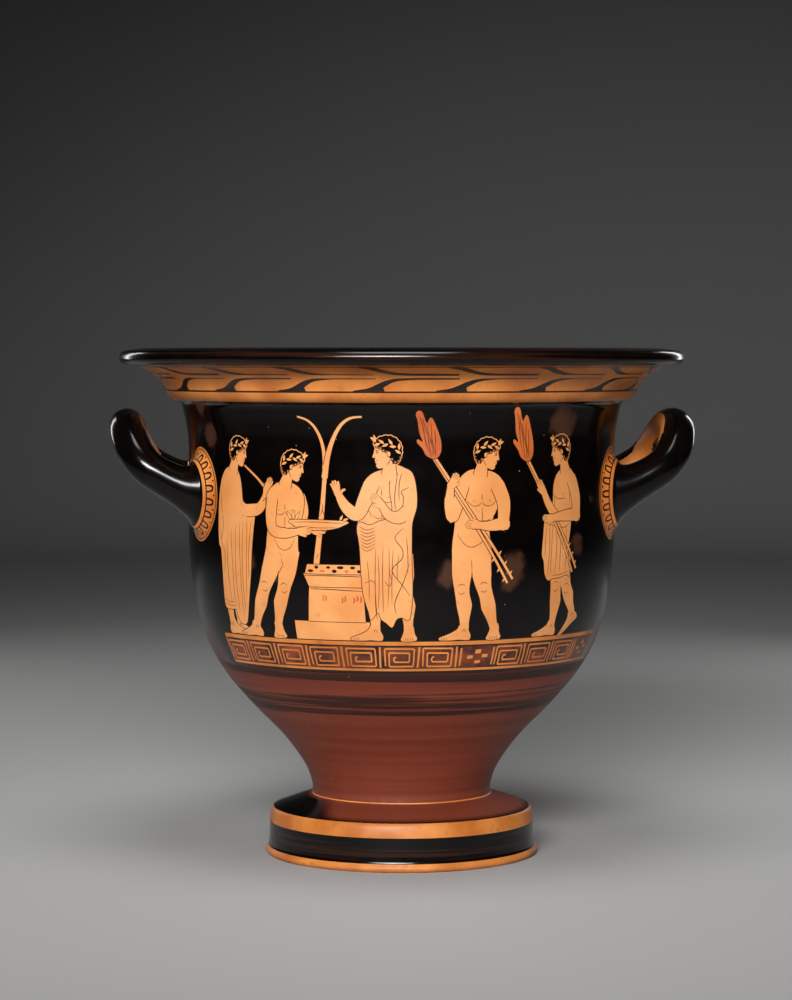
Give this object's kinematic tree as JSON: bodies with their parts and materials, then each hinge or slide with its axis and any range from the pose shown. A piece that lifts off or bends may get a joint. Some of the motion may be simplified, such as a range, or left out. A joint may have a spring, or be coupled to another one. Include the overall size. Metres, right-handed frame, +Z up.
{
  "type": "bell krater",
  "caption": "Wide-mouthed pottery bowl for mixing wine and water, with a flaring lip, two upturned loop handles and a disc foot.",
  "frame": {"origin": "on the floor under the middle of the foot", "axes": "+Z up along the pot's turning axis; the two handles lie along X; the main picture side faces -Y"},
  "size_m": [0.4262, 0.412, 0.37],
  "materials": {
    "black_gloss_pottery": "satin gloss slip over orange fired clay"
  },
  "bodies": {
    "root": {"krater": "black_gloss_pottery"}
  },
  "joints": []
}
